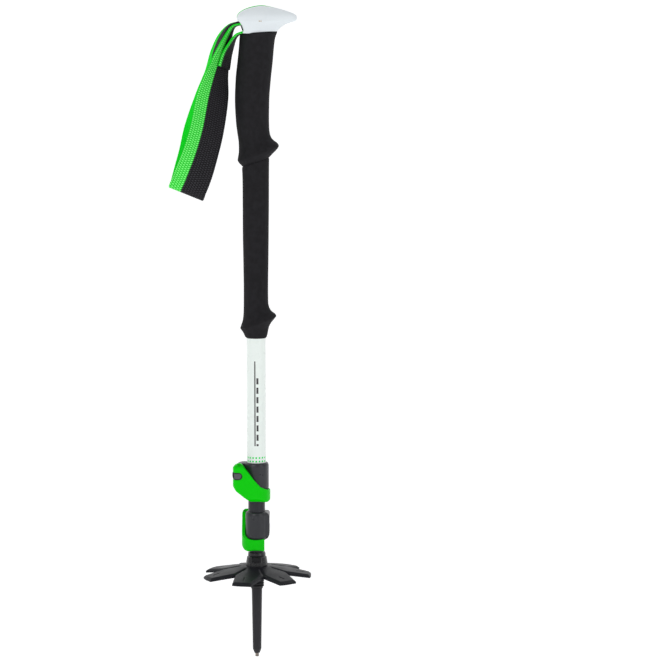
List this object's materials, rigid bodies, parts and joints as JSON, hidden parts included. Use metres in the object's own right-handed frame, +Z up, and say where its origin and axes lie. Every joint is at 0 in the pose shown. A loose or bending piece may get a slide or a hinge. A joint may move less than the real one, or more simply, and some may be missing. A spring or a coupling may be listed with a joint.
{
  "type": "ski pole",
  "caption": "Collapsible touring ski pole with cam clamps, foam grips, a beaked head, a webbing wrist strap and a petal basket, folded to its packed length.",
  "frame": {"origin": "the end of the metal tip, on the shaft's axis", "axes": "+Z up the shaft to the head, +X towards the head's beak (the front of the pole), strap at -X, the clamp lever of the upper lock at -Y"},
  "size_m": [0.1341, 0.1038, 0.62],
  "materials": {
    "tip_metal": "worn hard-metal tip",
    "black_plastic": "moulded black nylon",
    "basket_plastic": "satin moulded dark grey plastic",
    "dark_tube": "dark anodised tube",
    "clamp_plastic": "satin dark grey glass-filled plastic",
    "steel": "plated steel",
    "black_metal": "blackened steel",
    "green_plastic": "bright green moulded plastic",
    "white_tube": "gloss white painted tube",
    "foam": "closed-cell foam with a fine skin",
    "white_plastic": "fine-textured white plastic",
    "pin_brass": "dull brass pin",
    "webbing": "two-tone ribbed polyester webbing"
  },
  "bodies": {
    "handle": {"upper_shaft": "white_tube", "grip_extension": "foam", "upper_grip": "foam", "grip_head": "white_plastic", "head_inlay": "green_plastic", "strap_pin": "pin_brass", "strap_anchor": "webbing", "upper_collar": "clamp_plastic", "upper_sleeve": "black_plastic", "upper_wear_plate": "steel", "upper_barrel_nut": "black_metal", "upper_washer": "steel"},
    "upper_lock_lever": {"upper_lever": "green_plastic", "upper_cap": "clamp_plastic"},
    "upper_lock_screw": {"upper_screw": "steel"},
    "wrist_strap": {"strap_loop": "webbing", "strap_tail": "webbing"},
    "wedge": {"strap_wedge": "clamp_plastic"},
    "mid_slider": {"mid_plug": "black_plastic"},
    "mid_section": {"mid_shaft": "dark_tube", "lower_collar": "clamp_plastic", "lower_sleeve": "black_plastic", "lower_wear_plate": "steel", "lower_barrel_nut": "black_metal", "lower_washer": "steel"},
    "lower_lock_lever": {"lower_lever": "green_plastic"},
    "lower_lock_screw": {"lower_screw": "steel"},
    "low_slider": {"lower_plug": "black_plastic"},
    "low_section": {"lower_shaft": "dark_tube", "tip_holder": "black_plastic", "tip_collar": "black_plastic", "metal_tip": "tip_metal"},
    "basket_body": {"basket": "basket_plastic", "basket_hub": "basket_plastic"},
    "latch": {"basket_latch": "black_plastic"}
  },
  "joints": [
    {"name": "upper_lock", "type": "hinge", "parent": "handle", "child": "upper_lock_lever", "pos_m": [-0.0156, -0.011, 0.1748], "axis": [0, 0, -1], "range_deg": [0, 97]},
    {"name": "upper_tension", "type": "hinge", "parent": "handle", "child": "upper_lock_screw", "pos_m": [-0.0156, 0, 0.1769], "axis": [0, 1, 0], "range_deg": [-180, 180]},
    {"name": "strap_swing", "type": "hinge", "parent": "handle", "child": "wrist_strap", "pos_m": [-0.0153, 0, 0.6059], "axis": [0, 1, 0], "range_deg": [0, 45]},
    {"name": "wedge_slide", "type": "slide", "parent": "handle", "child": "wedge", "axis": [0.9397, 0, 0.342], "range_m": [-0.005, 0]},
    {"name": "upper_extend", "type": "slide", "parent": "handle", "child": "mid_slider", "axis": [0, 0, -1], "range_m": [0, 0.35]},
    {"name": "upper_twist", "type": "hinge", "parent": "mid_slider", "child": "mid_section", "pos_m": [0, 0, 0.56], "axis": [0, 0, 1], "continuous": true},
    {"name": "lower_lock", "type": "hinge", "parent": "mid_section", "child": "lower_lock_lever", "pos_m": [-0.011, 0.0146, 0.1273], "axis": [0, 0, -1], "range_deg": [0, 97]},
    {"name": "lower_tension", "type": "hinge", "parent": "mid_section", "child": "lower_lock_screw", "pos_m": [0, 0.0146, 0.1294], "axis": [1, 0, 0], "range_deg": [-180, 180]},
    {"name": "lower_extend", "type": "slide", "parent": "mid_section", "child": "low_slider", "axis": [0, 0, -1], "range_m": [0, 0.37]},
    {"name": "lower_twist", "type": "hinge", "parent": "low_slider", "child": "low_section", "pos_m": [0, 0, 0.54], "axis": [0, 0, 1], "continuous": true},
    {"name": "basket_turn", "type": "hinge", "parent": "low_section", "child": "basket_body", "pos_m": [0, 0, 0.087], "axis": [0, 0, 1], "range_deg": [0, 90]},
    {"name": "latch_press", "type": "slide", "parent": "basket_body", "child": "latch", "axis": [0, 1, 0], "range_m": [0, 0.0011], "stiffness_N_per_m": 600}
  ]
}
